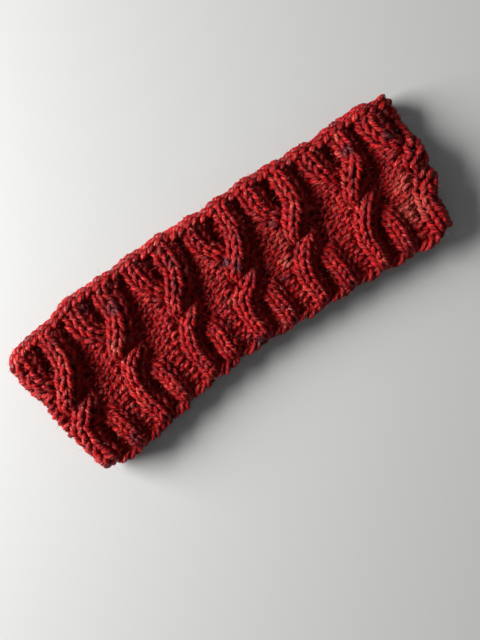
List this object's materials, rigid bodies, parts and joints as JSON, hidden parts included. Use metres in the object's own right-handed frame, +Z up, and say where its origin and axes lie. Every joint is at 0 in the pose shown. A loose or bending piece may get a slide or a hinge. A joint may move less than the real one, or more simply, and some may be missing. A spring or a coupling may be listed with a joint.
{
  "type": "cable knit headband",
  "caption": "Wide cable-knit wool headband, a seamless loop worn round the head and ears, shown lying flat as a folded tube.",
  "frame": {"origin": "middle of the underside, on the surface the band lies on", "axes": "+X along the lying band from its left fold to its right fold, +Y towards the bind-off edge, +Z up through the two layers"},
  "size_m": [0.2628, 0.0944, 0.0212],
  "materials": {
    "red_wool": "plied aran wool, heathered red with darker and purple flecks, matte and slightly fuzzy"
  },
  "bodies": {
    "root": {"knit_band": "red_wool"}
  },
  "joints": []
}
